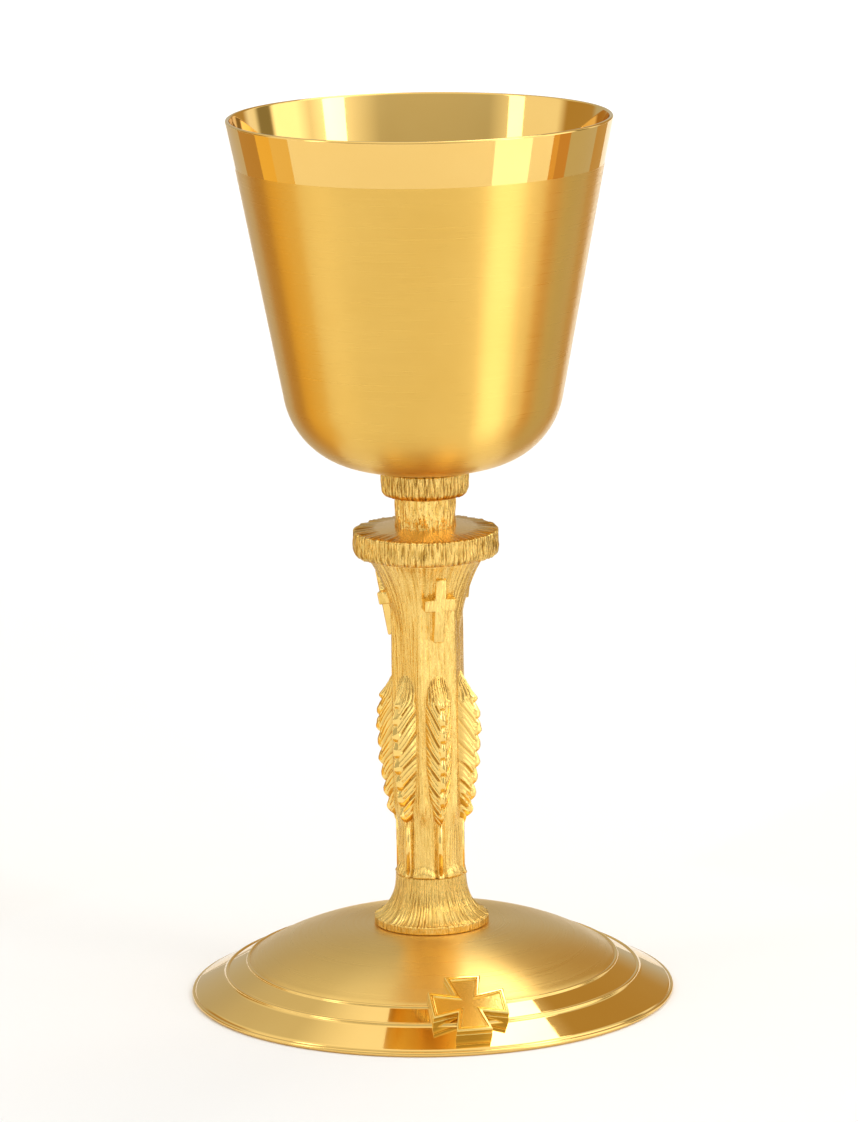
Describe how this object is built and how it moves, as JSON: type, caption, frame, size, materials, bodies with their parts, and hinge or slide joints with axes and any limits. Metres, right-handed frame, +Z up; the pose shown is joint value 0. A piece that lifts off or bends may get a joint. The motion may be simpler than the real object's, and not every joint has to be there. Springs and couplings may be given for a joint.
{
  "type": "communion chalice",
  "caption": "Gilded chalice with a flared satin cup that screws into a hexagonal wheat-ear stem with a disc knop, on a round domed base with a cross.",
  "frame": {"origin": "middle of the base, on the surface that the chalice stands on", "axes": "+Z up along the stem's axis, -Y to the front, where the cross on the base and one cross on the stem are"},
  "size_m": [0.1152, 0.1152, 0.21],
  "materials": {
    "cup_satin_gilt": "satin, brushed around the cup, polished inside and at the rim",
    "base_gilt": "satin dome, polished border",
    "bright_gilt": "polished",
    "bark_gilt": "matt casting with an upright bark texture",
    "wheat_gilt": "matt casting with bright edges",
    "disc_gilt": "satin top, bark-textured edge",
    "turned_brass": "turned",
    "plated_steel": "zinc plated"
  },
  "bodies": {
    "stand": {"neck_sleeve": "bark_gilt", "coupling_bush": "turned_brass", "knop_disc": "disc_gilt", "stem_foot": "bark_gilt", "stem_column": "bark_gilt", "wheat_ear_front": "wheat_gilt", "wheat_ear_front_right": "wheat_gilt", "wheat_ear_back_right": "wheat_gilt", "wheat_ear_back": "wheat_gilt", "wheat_ear_back_left": "wheat_gilt", "wheat_ear_front_left": "wheat_gilt", "stem_cross_front": "bright_gilt", "stem_cross_back_right": "bright_gilt", "stem_cross_back_left": "bright_gilt", "base_dome": "base_gilt", "base_edge_wire": "bright_gilt", "base_cross_back": "bright_gilt", "base_cross_face": "bright_gilt", "base_cross_studs": "turned_brass", "base_cross_nuts": "turned_brass", "tie_rod": "plated_steel", "spreader_washer": "turned_brass", "lock_washer": "plated_steel", "base_nut": "plated_steel", "foot_dowels": "turned_brass", "column_dowels": "turned_brass", "knop_dowels": "turned_brass"},
    "collar": {"cup_collar": "bark_gilt"},
    "bowl": {"cup": "cup_satin_gilt", "cup_boss": "turned_brass", "cup_stud": "turned_brass"}
  },
  "joints": [
    {"name": "cup_rise", "type": "slide", "parent": "stand", "child": "collar", "axis": [0, 0, 1], "range_m": [0, 0.01]},
    {"name": "cup_turn", "type": "hinge", "parent": "collar", "child": "bowl", "pos_m": [0, 0, 0.126], "axis": [0, 0, 1], "range_deg": [0, 2880]}
  ],
  "couplings": [
    {"joint": "cup_rise", "follows": "cup_turn", "m_per_rad": 0.00019894}
  ]
}
